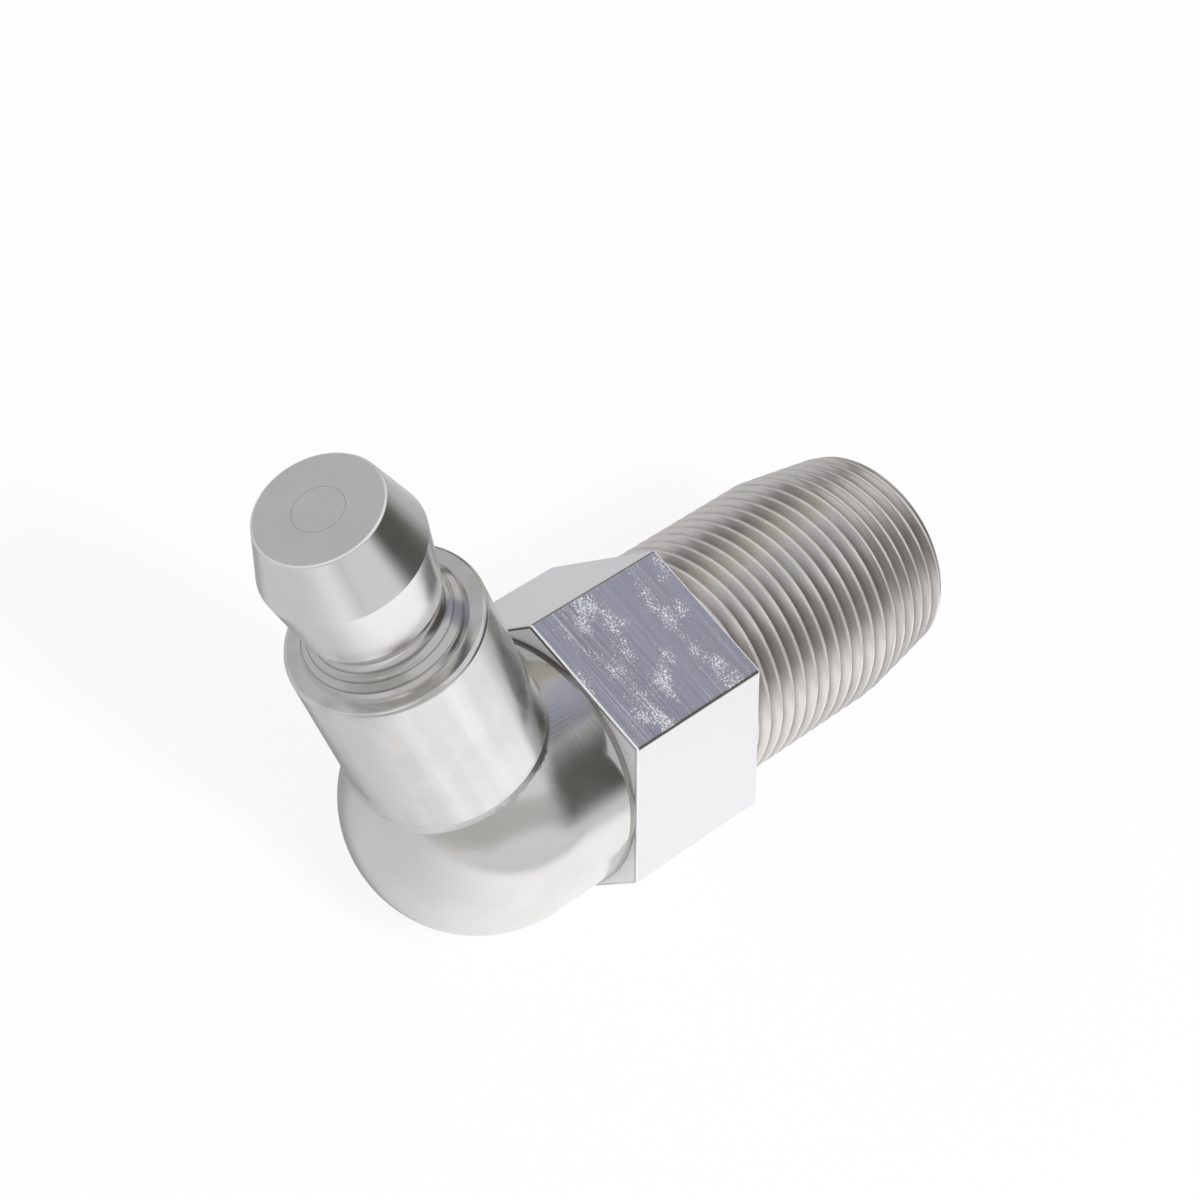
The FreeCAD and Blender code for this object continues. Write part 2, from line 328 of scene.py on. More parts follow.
class Shader:
    """The nodes of a material or world. node() adds one, its settings first and then its inputs."""

    def __init__(self, owner):
        self.owner = owner
        owner.use_nodes = True
        self.tree = owner.node_tree
        self.tree.nodes.clear()

    def node(self, kind, settings, inputs, output=0):
        node = self.tree.nodes.new(kind)
        for name, setting in settings.items():
            setattr(node, name, setting)
        for name, value in inputs.items():
            if isinstance(value, Value):
                self.tree.links.new(value.socket, node.inputs[name])
            else:
                node.inputs[name].default_value = value
        return Value(self, node.outputs[output]) if node.outputs else None

    def math(self, operation, *values):
        """A Math node on values or numbers."""
        return self.node("ShaderNodeMath", {"operation": operation}, dict(enumerate(values)))

    def noise(self, vector, scale, detail=2.0):
        """Noise about 0.5 over a vector in millimetres, finer with a larger scale."""
        return self.node("ShaderNodeTexNoise", {}, {"Vector": vector, "Scale": scale, "Detail": detail})

    def stretched(self, vector, scale):
        """A vector scaled along each axis, so that a texture over it is drawn out."""
        return self.node("ShaderNodeVectorMath", {"operation": "MULTIPLY"}, {0: vector, 1: scale})

    def ease(self, value, start, end):
        """0 below start, 1 above end and smooth between them."""
        settings = {"interpolation_type": "SMOOTHSTEP"}
        return self.node("ShaderNodeMapRange", settings, {0: value, 1: start, 2: end})

    def blend(self, factor, first, second):
        """One colour fading into another."""
        settings = {"data_type": "RGBA"}
        return self.node("ShaderNodeMix", settings, {0: factor, 6: first, 7: second}, 2)

    def along(self, matrix):
        """Object coordinates in millimetres, in a frame whose Z is the axis of a turned piece."""
        inputs = {
            "Vector": self.node("ShaderNodeTexCoord", {}, {}, "Object"),
            "Location": matrix.to_translation(),
            "Rotation": matrix.to_euler(),
            "Scale": (MM, MM, MM),
        }
        return self.node("ShaderNodeMapping", {"vector_type": "TEXTURE"}, inputs)

    def part(self, vector, i):
        """The X, Y or Z of a vector."""
        return self.node("ShaderNodeSeparateXYZ", {}, {0: vector}, i)

    def length(self, vector):
        """How long a vector is."""
        return self.node("ShaderNodeVectorMath", {"operation": "LENGTH"}, {0: vector}, 1)

    def from_axis(self, spot):
        """How far a spot is from the Z axis."""
        return self.length(self.stretched(spot, (1, 1, 0)))

    def away_from(self, value, middle):
        """How far a value is from a middle one, on either side."""
        return self.math("ABSOLUTE", value - middle)

    def larger(self, first, second):
        """The larger of two values."""
        return self.math("MAXIMUM", first, second)

    def rings(self, spot, count):
        """Fine lathe rings about Z, so many to a millimetre, that waver and change in strength."""
        wander = self.noise(spot, 0.3)
        along = self.part(spot, 2) + self.from_axis(spot) * 0.8 + wander
        inputs = {"W": along, "Scale": count, "Detail": 3.0}
        return self.node("ShaderNodeTexNoise", {"noise_dimensions": "1D"}, inputs)

    def metal(self, colour, metallic, roughness, height, depth):
        """The finished metal. height runs from 0 to 1 over the depth of its marks."""
        bump = self.node("ShaderNodeBump", {}, {"Strength": 1.0, "Distance": depth, "Height": height})
        inputs = {"Base Color": colour, "Metallic": metallic, "Roughness": roughness, "Normal": bump}
        surface = self.node("ShaderNodeBsdfPrincipled", {}, inputs)
        self.node("ShaderNodeOutputMaterial", {}, {"Surface": surface})
        return self.owner


def turned_steel(name, matrix, light, dark, roughness, flow=0.0, rim=None, groove=None):
    """Turned steel, bright plated: fine rings, flow marks along the axis, a rim rubbed bright and given
    a painted highlight, and painted shade in a groove, with painted dark lines round its steps.
    The rim and the groove's top are given as (radius, height)."""
    shader = Shader(bpy.data.materials.new(name))
    spot = shader.along(matrix)
    radius = shader.from_axis(spot)
    height = shader.part(spot, 2)
    rings = shader.rings(spot, FINE_RINGS)
    smudge = shader.noise(spot, 0.4, 4.0)
    drawn = shader.noise(shader.stretched(spot, (1.1, 1.1, 0.07)), 1.0, 3.0)
    colour = shader.blend(shader.ease(smudge * 0.5 + drawn * 0.5, 0.38, 0.62), dark, light)
    rubbed_highlight = 0
    # Painted shade: the groove below its top is painted darker, and painted dark lines of shade run
    # round its steps.
    if groove:
        groove_top = groove[1] / MM
        below = 1 - shader.ease(height, groove_top - 0.1, groove_top + 0.1)
        crease_lines = 0
        for crease_r in CREASE_LINE_RADII:
            crease_line = 1 - shader.ease(shader.away_from(radius, crease_r / MM), 0.012, 0.04)
            crease_lines = shader.larger(crease_lines, crease_line)
        colour = shader.blend(below, colour, GROOVE_SHADE)
        colour = shader.blend(crease_lines * below * 0.5, colour, CREASE_SHADE)
    # Painted highlight: the rim is painted near white and less metallic, as a bright rubbed edge.
    if rim:
        rim_r = rim[0] / MM
        rim_height = rim[1] / MM
        over = shader.ease(height, rim_height - 0.07, rim_height - 0.03)
        rubbed_highlight = over * shader.ease(radius, rim_r - 0.09, rim_r - 0.06)
        colour = shader.blend(rubbed_highlight, colour, SCUFFED_AND_HIGHLIGHT)
    gloss = roughness + (smudge - 0.5) * 0.1 + rings * 0.04 + rubbed_highlight * 0.15
    return shader.metal(colour, 1 - rubbed_highlight * 0.4, gloss, rings + drawn * flow, FINE_DEPTH)


def ball_and_arm(name, matrix, light, dark, roughness):
    """The ball, cloudy from forming, and the arm with its lathe rings."""
    shader = Shader(bpy.data.materials.new(name))
    spot = shader.along(matrix)
    arm_middle = ELBOW_X + ARM_LENGTH / 2
    on_arm = shader.ease(shader.part(spot, 2), ELBOW_X / MM, arm_middle / MM)
    rings = shader.rings(spot, COARSE_RINGS)
    cloud = shader.noise(spot, 0.35, 3.0)
    colour = shader.blend(shader.ease(cloud, 0.35, 0.65), dark, light)
    height = rings * on_arm + cloud * (1 - on_arm) * CLOUD_SWELL
    return shader.metal(colour, 1.0, roughness + (cloud - 0.5) * 0.2, height, ARM_RING_DEPTH)


def shaded_faced_steel(name, matrix, light, dark, roughness):
    """The hexagon's turned ends, duller than the flats and painted darker as shade. Painted shade
    darkens them in the corner round the arm, and more towards the upper corner at the back."""
    shader = Shader(bpy.data.materials.new(name))
    spot = shader.along(matrix)
    down = shader.part(spot, 0)
    back = shader.part(spot, 1)
    rings = shader.rings(spot, COARSE_RINGS)
    # Painted shade in the corner round the arm and towards the upper corner at the back.
    corner = 1 - shader.ease(shader.from_axis(spot), land_r / MM, land_r / MM + 0.5)
    back_shade = shader.ease(back * 0.5 - down * 0.87, 4.2, 5.2) * shader.ease(back, -0.5, 1.5)
    colour = shader.blend(shader.larger(corner * 0.35, back_shade), light, dark)
    return shader.metal(colour, 1.0, roughness + rings * 0.1, rings, FACING_DEPTH)


def cut_thread(name, matrix, light, dark, roughness):
    """The thread, with painted shade and highlights: each valley is painted dark past a crest and
    lightens to the next, and the crests are rubbed and painted bright.
    """
    shader = Shader(bpy.data.materials.new(name))
    spot = shader.along(matrix)
    angle = shader.math("ARCTAN2", shader.part(spot, 1), shader.part(spot, 0))
    run = shader.part(spot, 2) + THREAD_RUN_IN / MM
    past_crest = shader.math("FRACT", run * (MM / THREAD_PITCH) - angle * (0.5 / math.pi))
    rings = shader.rings(spot, THREAD_RINGS)
    patch = shader.noise(spot, 0.8, 3.0)
    # Painted shade: each valley is dark just past a crest and lighter towards the next one.
    valley = shader.ease(past_crest + (patch - 0.5) * 0.6, 0.0, 0.7)
    # Painted highlight on the crests, broken up along the helix, and a painted dark line of shade just
    # past each crest.
    glint = 0.45 + 0.55 * shader.ease(shader.noise(spot, 1.6, 4.0), 0.4, 0.6)
    crest_foot = shader.ease(past_crest, 0.955, 0.975)
    crest_top = 1 - shader.ease(past_crest, 0.005, 0.02)
    rubbed_highlight = (crest_foot + crest_top) * glint
    below = shader.ease(past_crest, 0.02, 0.04) * (1 - shader.ease(past_crest, 0.05, 0.11))
    colour = shader.blend(valley, dark, light)
    colour = shader.blend(below * 0.5, colour, dark)
    colour = shader.blend(rubbed_highlight, colour, SCUFFED_AND_HIGHLIGHT)
    gloss = roughness - rubbed_highlight * 0.2 + rings * 0.06
    return shader.metal(colour, THREAD_METALLIC, gloss, rings, FINE_DEPTH)


def brushed_steel(name, matrix, light, dark, roughness):
    """The hexagon's drawn flats: straight marks across the axis, and scuffs on the upper flat. On that
    flat only, where the light shows them, the marks are painted darker and the scuffs' glints painted
    bright;
    a painted highlight runs round both ends as rubbed edges.
    """
    shader = Shader(bpy.data.materials.new(name))
    spot = shader.along(matrix)
    flat_height = HEX_AF / MM / 2
    half_length = HEX_LENGTH / MM / 2
    upper = shader.ease(0 - shader.part(spot, 0), flat_height - 0.02, flat_height - 0.005)
    length = shader.part(spot, 2)
    broad = shader.noise(shader.stretched(spot, (0.1, 0.1, 3)), 1.0, 5.0)
    lines = shader.noise(shader.stretched(spot, (0.14, 0.14, 17)), 1.0, 3.0)
    busy = 0.6 + 0.4 * (1 - shader.ease(length, -5.5, -3.5))
    rubs = shader.noise(shader.stretched(spot, (0.55, 0.55, 0.9)), 1.0, 5.0)
    beside_arm = 1 - shader.ease(shader.away_from(length, SCUFF_BY_ARM / MM), 0.2, 1.5)
    beside_thread = 1 - shader.ease(shader.away_from(length, SCUFF_BY_THREAD / MM), 0.1, 1.1)
    worn = shader.ease(rubs + beside_arm * 0.14 + beside_thread * 0.1, 0.48, 0.76)
    # Scuffs with painted glints: bright specks and hairlines on the upper flat only, where the light
    # catches them.
    flakes = shader.noise(shader.stretched(spot, (11, 8, 19)), 1.0, 6.0)
    speck_glints = shader.ease(flakes + worn * 0.2 + lines * 0.1, 0.7, 0.8)
    hairline_glints = shader.ease(lines, 0.6, 0.7) * 0.3 * busy
    # Painted highlight along the bevels at both ends, as rubbed edges.
    from_middle = shader.away_from(length, -half_length)
    edge = shader.ease(from_middle, half_length - 0.13, half_length - 0.09)
    scuff_and_highlight = shader.larger(shader.larger(speck_glints, hairline_glints) * upper, edge)
    marks = shader.ease(broad * 0.3 + lines * 0.7, 0.34, 0.6)
    # The drawn marks are painted darker on the upper flat only, where the light shows them.
    colour = shader.blend((1 - marks) * (upper * busy + 0.03), light, dark)
    colour = shader.blend(worn * upper * 0.3, colour, light)
    colour = shader.blend(scuff_and_highlight, colour, SCUFFED_AND_HIGHLIGHT)
    gloss = roughness + scuff_and_highlight * 0.35
    return shader.metal(colour, 1 - scuff_and_highlight * 0.7, gloss, marks * upper, FACING_DEPTH)


def finish_shading(piece, *materials):
    """Smooth shading that keeps flats flat and corners crisp, and the piece's materials. Shading is
    weighted by area, which is lost on areas this small in metres, so the mesh is in mm meanwhile."""
    select_only(piece)
    bpy.ops.object.shade_smooth_by_angle(angle=SMOOTH_BELOW)
    piece.data.transform(Matrix.Scale(1 / MM, 4))
    modifier = piece.modifiers.new("weighted", "WEIGHTED_NORMAL")
    modifier.keep_sharp = True
    bpy.ops.object.modifier_apply(modifier=modifier.name)
    piece.data.transform(Matrix.Scale(MM, 4))
    for material in materials:
        piece.data.materials.append(material)


LIGHT_STEEL = (0.93, 0.92, 0.91, 1)
DARK_STEEL = (0.87, 0.86, 0.85, 1)
BOSS_DARK = (0.8, 0.79, 0.77, 1)
DRAWN_LIGHT = (0.95, 0.935, 0.955, 1)
DRAWN_DARK = (0.68, 0.68, 0.69, 1)
# The thread's valleys, lit and in painted shade.
THREAD_LIGHT = (0.86, 0.83, 0.79, 1)
THREAD_SHADE = (0.5, 0.47, 0.43, 1)
THREAD_METALLIC = 0.88
# The turned ends' steel, painted darker than the flats as shade.
SHADED_ENDS = (0.62, 0.61, 0.59, 1)
# Painted shade for creases and corners.
CREASE_SHADE = (0.16, 0.15, 0.14, 1)
# Near white for scuffs, and for the painted highlights on rims, thread crests and hexagon edges.
SCUFFED_AND_HIGHLIGHT = (0.97, 0.98, 1.0, 1)
SCUFF_BY_ARM = -5.1 * MM
SCUFF_BY_THREAD = -1.6 * MM
FINE_RINGS = 12.0
COARSE_RINGS = 7.0
THREAD_RINGS = 14.0
FINE_DEPTH = 0.0006 * MM
FACING_DEPTH = 0.001 * MM
ARM_RING_DEPTH = 0.0016 * MM
CLOUD_SWELL = 20
SMOOTH_BELOW = math.radians(24)
BOSS_FOOT = 0.7 * BALL_R
HEXAGON_END_FACING = 0.75
SHANK_END_FACING = 0.95
NEAR = 0.01 * MM
elbow_materials = [
    ball_and_arm("body_steel", THREAD_TURN, LIGHT_STEEL, DARK_STEEL, roughness=0.19),
    turned_steel(
        "boss_steel",
        HEAD_PLACE,
        LIGHT_STEEL,
        BOSS_DARK,
        roughness=0.16,
        flow=9.0,
        rim=(BOSS_R, BOSS_HEIGHT),
    ),
    brushed_steel("hexagon_steel", THREAD_TURN, DRAWN_LIGHT, DRAWN_DARK, roughness=0.18),
    cut_thread("thread_steel", THREAD_TURN, THREAD_LIGHT, THREAD_SHADE, roughness=0.25),
    shaded_faced_steel("shaded_faced_steel", THREAD_TURN, SHADED_ENDS, CREASE_SHADE, roughness=0.2),
]
BOSS, HEXAGON, THREAD, FACED = 1, 2, 3, 4
finish_shading(elbow, *elbow_materials)
to_head = HEAD_PLACE.inverted()
for polygon in elbow.data.polygons:
    spot = polygon.center
    beside_head = to_head @ spot
    from_head_axis = math.hypot(beside_head.x, beside_head.y)
    from_axis = math.hypot(spot.y, spot.z)
    along_hexagon = land_foot - NEAR < spot.x < NEAR
    on_end = abs(polygon.normal.x) > HEXAGON_END_FACING or spot.x < -HEX_LENGTH
    if beside_head.z > BOSS_FOOT and from_head_axis < BOSS_R + NEAR:
        polygon.material_index = BOSS
    elif along_hexagon and from_axis > BALL_R and on_end:
        polygon.material_index = FACED
    elif along_hexagon and from_axis > land_r - HEX_EDGE:
        polygon.material_index = HEXAGON
    elif spot.x > 0 and from_axis > outlet_r:
        polygon.material_index = FACED if polygon.normal.x > SHANK_END_FACING else THREAD
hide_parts("elbow_body")
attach(elbow, "nipple")

# Nipple head
# A turned steel piece, bright plated: front face, double cone that the coupler's jaws close behind,
# waisted neck and collar. Its tail is pressed into the boss, and it is bored out for the valve.
HEAD_HEIGHT = 7.17 * MM
HEAD_R = 3.28 * MM
HEAD_R_HEIGHT = 4.67 * MM
HEAD_R_EDGE = 0.03 * MM
FACE_R = 2.545 * MM
FACE_EDGE = 0.12 * MM
NECK_R = 2.48 * MM
NECK_TOP_R = 2.83 * MM
NECK_TOP_HEIGHT = 1.8 * MM
NECK_FOOT_HEIGHT = 0.6 * MM
COLLAR_TOP_R = 3.17 * MM
COLLAR_EDGE_HEIGHT = 0.28 * MM
COLLAR_R = 3.28 * MM
COLLAR_EDGE = 0.06 * MM
TAIL_CHAMFER = 0.3 * MM
MOUTH_R = 1.02 * MM
MOUTH_EDGE = 0.004 * MM
MOUTH_LENGTH = 0.6 * MM
CHAMBER_R = 1.7 * MM
LIP_R = 1 * MM
LIP_LENGTH = 0.5 * MM
# Radii of the painted dark lines of shade round the neck and the collar.
CREASE_LINE_RADII = (2.6 * MM, 2.86 * MM, 3.13 * MM)
SHOULDER_PLACE = HEAD_PLACE @ Matrix.Translation((0, 0, BOSS_HEIGHT))


def rounded(before, corner, after, radius, steps=6):
    """Stations that round a profile's corner with an arc that touches both of its sides."""
    corner = Vector(corner)
    back = (Vector(before) - corner).normalized()
    ahead = (Vector(after) - corner).normalized()
    half = back.angle(ahead) / 2
    centre = corner + (back + ahead).normalized() * (radius / math.sin(half))
    spoke = corner + back * (radius / math.tan(half)) - centre
    sweep = math.copysign(math.pi - 2 * half, -back.cross(ahead))
    return [tuple(centre + Matrix.Rotation(sweep * i / steps, 2) @ spoke) for i in range(steps + 1)]


def waist():
    """Stations up the round groove of the neck, from its foot to its top."""
    half = (NECK_TOP_HEIGHT - NECK_FOOT_HEIGHT) / 2
    depth = NECK_TOP_R - NECK_R
    radius = (half**2 + depth**2) / (2 * depth)
    reach = math.degrees(math.asin(half / radius))
    centre = (NECK_R + radius, NECK_FOOT_HEIGHT + half)
    return arc(centre, radius, 180 + reach, 180 - reach, 20)


seat_top = HEAD_HEIGHT - MOUTH_LENGTH
neck_foot = (NECK_TOP_R, NECK_FOOT_HEIGHT)
neck_top = (NECK_TOP_R, NECK_TOP_HEIGHT)
collar_foot = (COLLAR_R, 0)
collar_edge = (COLLAR_TOP_R, COLLAR_EDGE_HEIGHT)
widest = (HEAD_R, HEAD_R_HEIGHT)
face_edge = (FACE_R, HEAD_HEIGHT)
mouth_edge = (MOUTH_R, HEAD_HEIGHT)
seat_edge = (MOUTH_R, seat_top)
head_stations = [
    (LIP_R, -TAIL_LENGTH),
    (TAIL_R - TAIL_CHAMFER, -TAIL_LENGTH),
    (TAIL_R, TAIL_CHAMFER - TAIL_LENGTH),
    (TAIL_R, 0),
    collar_foot,
]
head_stations += rounded(collar_foot, collar_edge, neck_foot, COLLAR_EDGE, 3)
head_stations += waist()
head_stations += rounded(neck_top, widest, face_edge, HEAD_R_EDGE, 3)
head_stations += rounded(widest, face_edge, mouth_edge, FACE_EDGE)
head_stations += rounded(face_edge, mouth_edge, seat_edge, MOUTH_EDGE, 3)
head_stations += [
    seat_edge,
    (CHAMBER_R, seat_top - (CHAMBER_R - MOUTH_R)),
    (CHAMBER_R, LIP_LENGTH - TAIL_LENGTH),
    (LIP_R, LIP_LENGTH - TAIL_LENGTH),
    (LIP_R, -TAIL_LENGTH),
]
head = turned("head", head_stations, through_bore=True)
place(head, SHOULDER_PLACE)
POLISHED_DARK = (0.9, 0.89, 0.88, 1)
# Painted shade in the neck's groove and on the collar.
GROOVE_SHADE = (0.72, 0.71, 0.69, 1)
head_steel = turned_steel(
    "head_steel",
    SHOULDER_PLACE,
    LIGHT_STEEL,
    POLISHED_DARK,
    roughness=0.16,
    flow=4.0,
    rim=face_edge,
    groove=neck_top,
)
finish_shading(head, head_steel)
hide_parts("nipple_head")
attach(head, "nipple")

# Check plunger
# A small turned steel valve member whose flat nose lies flush in the front face. It is pushed back by
# the grease, and three flats on its guide let the grease past.
NOSE_R = 1.012 * MM
GUIDE_R = 1.64 * MM
GUIDE_LENGTH = 1.5 * MM
GUIDE_FLATS = 3
FLAT_DEPTH = 0.45 * MM
SEAT_GAP = 0.02 * MM
PILOT_R = 1 * MM
PILOT_LENGTH = 1.4 * MM

cone_top = seat_top - SEAT_GAP
cone_foot = cone_top - (GUIDE_R - NOSE_R)
guide_foot = cone_foot - GUIDE_LENGTH
plunger_stations = [
    (PILOT_R, guide_foot - PILOT_LENGTH),
    (PILOT_R, guide_foot),
    (GUIDE_R, guide_foot),
    (GUIDE_R, cone_foot),
    (NOSE_R, cone_top),
]
plunger_stations += rounded((NOSE_R, cone_top), (NOSE_R, HEAD_HEIGHT), (0, HEAD_HEIGHT), MOUTH_EDGE, 3)
plunger = turned("plunger", plunger_stations)
bpy.ops.object.mode_set(mode="EDIT")
for i in range(GUIDE_FLATS):
    angle = 2 * math.pi * i / GUIDE_FLATS
    outward = Vector((math.cos(angle), math.sin(angle), 0))
    bpy.ops.mesh.select_all(action="SELECT")
    bpy.ops.mesh.bisect(
        plane_co=outward * (GUIDE_R - FLAT_DEPTH),
        plane_no=outward,
        use_fill=True,
        clear_outer=True,
        threshold=CUT_WITHIN,
    )
bpy.ops.object.mode_set(mode="OBJECT")
place(plunger, SHOULDER_PLACE)
plunger_steel = turned_steel(
    "plunger_steel", SHOULDER_PLACE, LIGHT_STEEL, POLISHED_DARK, roughness=0.18
)
finish_shading(plunger, plunger_steel)
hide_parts("check_plunger")
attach(plunger, "plunger")

# Plunger spring
# A compression spring coiled from hard-drawn wire. It stands between the tail's rolled lip and the
# plunger's guide, and its end coils are closed.
WIRE_R = 0.15 * MM
SPRING_R = 1.45 * MM
OPEN_TURNS = 6
CLOSED_PITCH = 0.32 * MM
SPRING_END_GAP = 0.02 * MM
WIRE_SIDES = 14
COIL_STEPS = 48
TRAVEL = frame["joints"][0]["range_m"][1]

spring_foot = LIP_LENGTH + SPRING_END_GAP - TAIL_LENGTH
spring_length = guide_foot - SPRING_END_GAP - spring_foot
open_pitch = (spring_length - 2 * WIRE_R - 2 * CLOSED_PITCH) / OPEN_TURNS
coil_height = spring_foot + WIRE_R
coils = []
for turns, pitch in ((1, CLOSED_PITCH), (OPEN_TURNS, open_pitch), (1, CLOSED_PITCH)):
    bpy.ops.object.select_all(action="DESELECT")
    upright = (math.pi / 2, 0, 0)
    bpy.ops.mesh.primitive_circle_add(vertices=WIRE_SIDES, radius=WIRE_R, rotation=upright)
    coil = bpy.context.object
    place(coil, Matrix.Translation((SPRING_R - WIRE_R, 0, coil_height)) @ coil.matrix_world)
    screw = coil.modifiers.new("screw", "SCREW")
    screw.screw_offset = pitch
    screw.iterations = turns
    screw.steps = COIL_STEPS
    screw.render_steps = COIL_STEPS
    bpy.ops.object.modifier_apply(modifier=screw.name)
    coil_height += turns * pitch
    coils.append(coil)
for coil in coils:
    coil.select_set(True)
bpy.ops.object.join()
spring = bpy.context.object
spring.name = "spring"
bpy.ops.object.mode_set(mode="EDIT")
bpy.ops.mesh.select_all(action="SELECT")
bpy.ops.mesh.remove_doubles(threshold=SCREW_MERGE_WITHIN)
bpy.ops.mesh.select_non_manifold()
bpy.ops.mesh.fill_holes(sides=0)
bpy.ops.mesh.select_all(action="SELECT")
bpy.ops.mesh.normals_make_consistent(inside=False)
bpy.ops.object.mode_set(mode="OBJECT")
place(spring, SHOULDER_PLACE)
SPRING_LIGHT = (0.6, 0.6, 0.6, 1)
SPRING_DARK = (0.45, 0.45, 0.46, 1)
spring_steel = turned_steel(
    "spring_steel", SHOULDER_PLACE, SPRING_LIGHT, SPRING_DARK, roughness=0.25
)
finish_shading(spring, spring_steel)
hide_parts("plunger_spring")
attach(spring, "nipple")
1 - TRAVEL / spring_length
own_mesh(spring)

# Floor, background and lamp
# A pale floor that stays white in the picture and keeps a faint shadow, a plain white world and one
# soft lamp overhead. The steel mirrors the floor as a grey one, with a bright pool on the near side
# and a dim stretch past the thread.
PALE = (0.96, 0.96, 0.96, 1)
WHITE = (1, 1, 1, 1)
FLOOR_SIZE = 6
FLOOR_Z = -HEX_AF / 2
FLOOR_DROP = 0.001 * MM
FLOOR_GLOW = 0.9
FLOOR_SHADE = (0.6, 0.6, 0.615, 1)
FLOOR_DIM = (0.5, 0.5, 0.51, 1)
BRIGHT_SIDE = (0.42, -0.91, 0)
POOL_R = 40 * MM
POOL_END_R = 160 * MM
MIRRORED_GLOW = 0.35
MIRRORED_WORLD = 0.4
WORLD_LEVEL = 0.4
LAMP_SIZE = 0.2
LAMP_PLACE = Vector((-0.05, -0.3, 0.5))
LAMP_POWER = 2.3


def background_rays(shader, mirrored):
    """1 for the camera's rays and those that pass through, and the value given for mirrored ones."""
    names = ("Is Camera Ray", "Is Transmission Ray", "Is Glossy Ray")
    direct, through, gloss = (shader.node("ShaderNodeLightPath", {}, {}, name) for name in names)
    return direct + through + gloss * mirrored


bpy.ops.object.select_all(action="DESELECT")
bpy.ops.mesh.primitive_plane_add(size=FLOOR_SIZE, location=(0, 0, FLOOR_Z - FLOOR_DROP))
floor = bpy.context.object
floor.name = "floor"
shader = Shader(bpy.data.materials.new("floor"))
spot = shader.along(Matrix.Translation((ELBOW_X, 0, FLOOR_Z)))
away = shader.length(spot)
outward = shader.node("ShaderNodeVectorMath", {"operation": "NORMALIZE"}, {0: spot})
dot_product = {"operation": "DOT_PRODUCT"}
lit_side = shader.node("ShaderNodeVectorMath", dot_product, {0: outward, 1: BRIGHT_SIDE}, 1)
thread_side = shader.part(outward, 0)
in_pool = 1 - shader.ease(away, POOL_R / MM, POOL_END_R / MM)
pool = shader.ease(lit_side, -0.5, 0.95) * in_pool
mirrored = shader.node("ShaderNodeLightPath", {}, {}, "Is Glossy Ray")
seen = shader.blend(pool, FLOOR_SHADE, PALE)
seen = shader.blend(shader.ease(thread_side, 0.75, 0.97), seen, FLOOR_DIM)
paint_colour = shader.blend(mirrored, PALE, seen)
glow_colour = shader.blend(mirrored, WHITE, seen)
paint = shader.node("ShaderNodeBsdfDiffuse", {}, {"Color": paint_colour})
glow = shader.node("ShaderNodeEmission", {}, {"Color": glow_colour, "Strength": 1.0})
factor = background_rays(shader, MIRRORED_GLOW) * FLOOR_GLOW
surface = shader.node("ShaderNodeMixShader", {}, {0: factor, 1: paint, 2: glow})
shader.node("ShaderNodeOutputMaterial", {}, {"Surface": surface})
floor.data.materials.append(shader.owner)

world = bpy.data.worlds.new("studio")
bpy.context.scene.world = world
shader = Shader(world)
level = background_rays(shader, MIRRORED_WORLD) * (1 - WORLD_LEVEL) + WORLD_LEVEL
sky = shader.node("ShaderNodeBackground", {}, {"Color": WHITE, "Strength": level})
shader.node("ShaderNodeOutputWorld", {}, {"Surface": sky})

bpy.ops.object.light_add(type="AREA", location=LAMP_PLACE)
lamp = bpy.context.object
lamp.rotation_euler = (-LAMP_PLACE).to_track_quat("-Z", "Y").to_euler()
lamp.data.size = LAMP_SIZE
lamp.data.energy = LAMP_POWER
lamp.visible_glossy = False

# Reflection cards
# Soft-edged studio cards, grey but for one white one, that only the steel sees. Each is stretched
# through rows of points, its lower edge first, given as (azimuth, elevation) in degrees.
CARD_COLUMNS = 48
CARD_LINES = 24


def towards(azimuth, elevation, distance):
    """Point that far from the nipple in a direction."""
    azimuth = math.radians(azimuth)
    elevation = math.radians(elevation)
    level = math.cos(elevation)
    direction = (level * math.cos(azimuth), level * math.sin(azimuth), math.sin(elevation))
    return distance * Vector(direction)


def along_edge(edge, share):
    """(azimuth, elevation) a share of the way along a list of such points."""
    place_in_list = share * (len(edge) - 1)
    i = min(int(place_in_list), len(edge) - 2)
    return Vector(edge[i]).lerp(Vector(edge[i + 1]), place_in_list - i)


def card(name, colour, rows, soft, distance):
    """A card through rows of points, which fades out over a soft share of its size at each edge."""
    bpy.ops.object.select_all(action="DESELECT")
    bpy.ops.mesh.primitive_grid_add(x_subdivisions=CARD_COLUMNS, y_subdivisions=CARD_LINES, size=2)
    sheet = bpy.context.object
    sheet.name = name
    for vertex in sheet.data.vertices:
        across = (vertex.co.x + 1) / 2
        edge = [along_edge(row, across) for row in rows]
        vertex.co = towards(*along_edge(edge, (vertex.co.y + 1) / 2), distance)
    shader = Shader(bpy.data.materials.new(name))
    spread = shader.node("ShaderNodeTexCoord", {}, {}, "UV")
    across = shader.part(spread, 0)
    up = shader.part(spread, 1)
    beside_edges = shader.ease(across, 0, soft) * shader.ease(1 - across, 0, soft)
    solid = beside_edges * shader.ease(up, 0, soft) * shader.ease(1 - up, 0, soft)
    clear = shader.node("ShaderNodeBsdfTransparent", {}, {})
    glow = shader.node("ShaderNodeEmission", {}, {"Color": (*colour, 1), "Strength": 1.0})
    surface = shader.node("ShaderNodeMixShader", {}, {0: solid, 1: clear, 2: glow})
    shader.node("ShaderNodeOutputMaterial", {}, {"Surface": surface})
    sheet.data.materials.append(shader.owner)
    sheet.visible_camera = False
    sheet.visible_diffuse = False
    sheet.visible_shadow = False
    sheet.visible_transmission = False


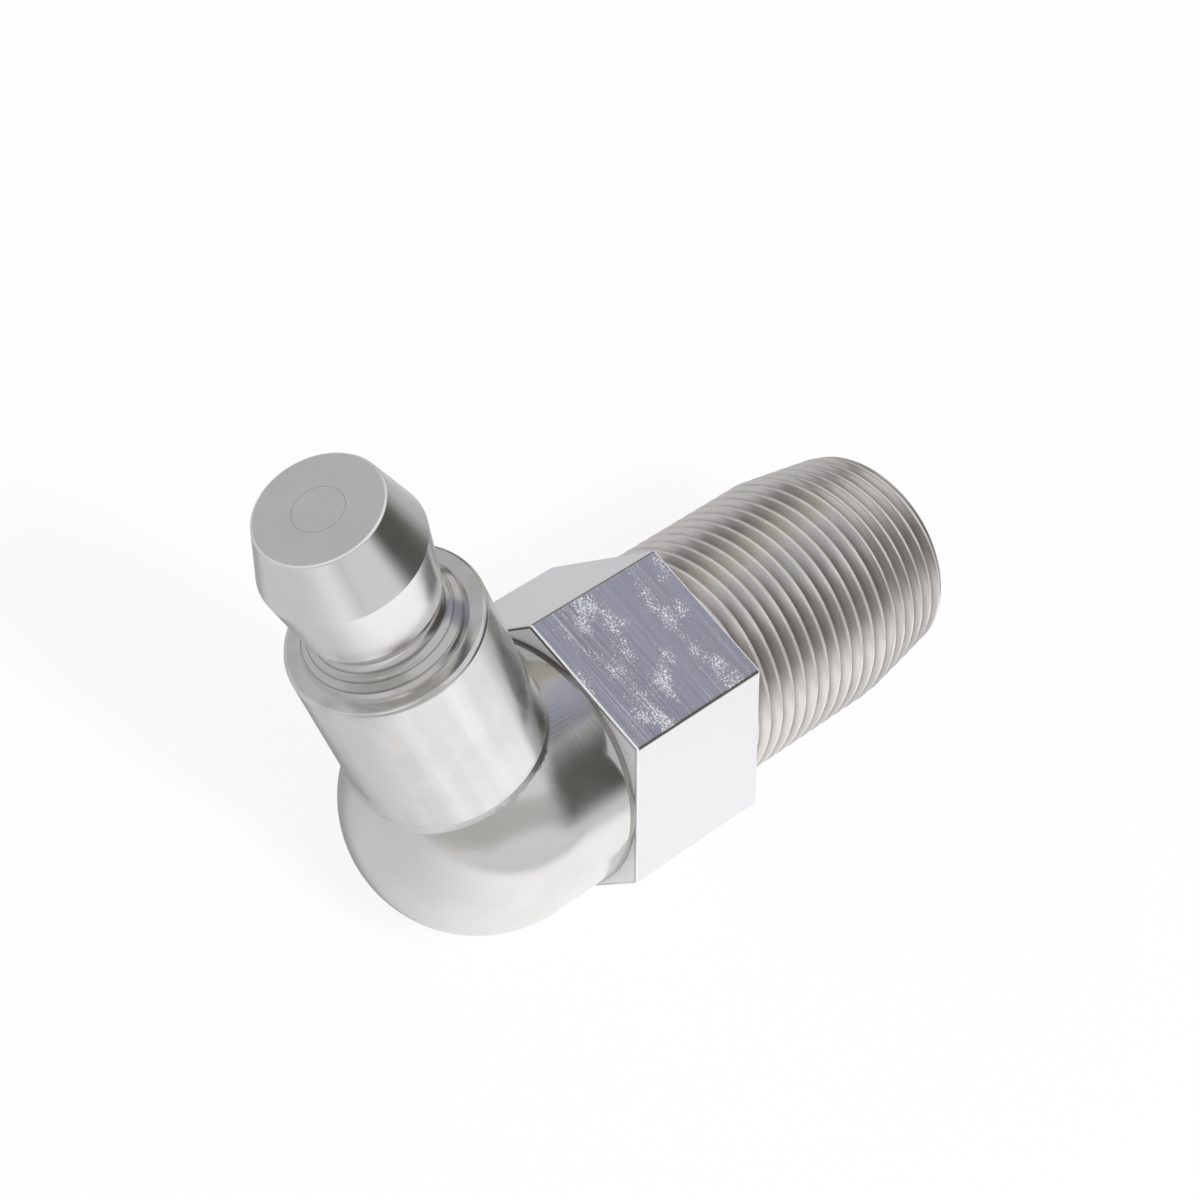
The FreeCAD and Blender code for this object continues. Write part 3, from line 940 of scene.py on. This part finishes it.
DARK_ROWS = [
    [(-60, 2), (-45, -2), (-30, -10), (20, -22)],
    [(-82, 24), (-50, 20), (-20, 18), (24, 14)],
    [(-74, 42), (-48, 40), (-20, 38), (32, 36)],
    [(-54, 66), (-36, 66), (-20, 64), (20, 61)],
]
FRONT_ROWS = [
    [(-240, -14), (-190, -10), (-155, -2), (-130, 10), (-112, 24), (-92, 27), (-75, 22), (-58, 14)],
    [(-240, 48), (-190, 50), (-155, 52), (-130, 60), (-110, 61), (-88, 56), (-66, 50), (-50, 44)],
]
card("card_front", (0.42, 0.415, 0.4), FRONT_ROWS, 0.2, 0.5)
card("card_edge", (1, 1, 1), [[(150, 28), (178, 28)], [(150, 48), (178, 48)]], 0.2, 0.48)
card("card_behind", (0.12, 0.1, 0.09), [[(160, 48), (190, 48)], [(155, 74), (200, 74)]], 0.3, 0.49)
card("card_face", (0.45, 0.45, 0.465), [[(60, 2), (125, 2)], [(60, 42), (125, 42)]], 0.15, 0.5)
card("card_brown", (0.33, 0.3, 0.25), [[(26, 20), (60, 20)], [(26, 46), (64, 46)]], 0.2, 0.49)
card("card_blue", (0.32, 0.33, 0.4), [[(-14, 36), (38, 36)], [(-18, 66), (50, 66)]], 0.15, 0.48)
card("card_side", (0.14, 0.135, 0.13), [[(34, 0), (72, 0)], [(36, 28), (66, 28)]], 0.2, 0.47)
card("card_low", (0.09, 0.09, 0.09), [[(3, -2), (62, -2)], [(3, 8), (62, 8)]], 0.2, 0.46)
card("card_dark", (0.08, 0.076, 0.068), DARK_ROWS, 0.3, 0.45)

# Camera
# At the photograph's own viewing angle, through a long lens. Its place was worked out from the
# outlines of the hexagon and the thread there.
CAMERA_PLACE = Vector((-94.996, -27.94, 116.209)) * MM
CAMERA_FORWARD = Vector((0.62186, 0.20848, -0.75487))
CAMERA_UP = Vector((0.40665, 0.73781, 0.53877))
LENS = 113.12
CLIP_START = 5 * MM

bpy.ops.object.camera_add()
camera = bpy.context.object
right = CAMERA_FORWARD.cross(CAMERA_UP).normalized()
up = right.cross(CAMERA_FORWARD).normalized()
camera_turn = Matrix((right, up, -CAMERA_FORWARD)).transposed().to_4x4()
camera.matrix_world = Matrix.Translation(CAMERA_PLACE) @ camera_turn
camera.data.lens = LENS
camera.data.clip_start = CLIP_START
bpy.context.scene.camera = camera
bpy.context.scene.view_settings.view_transform = "Standard"
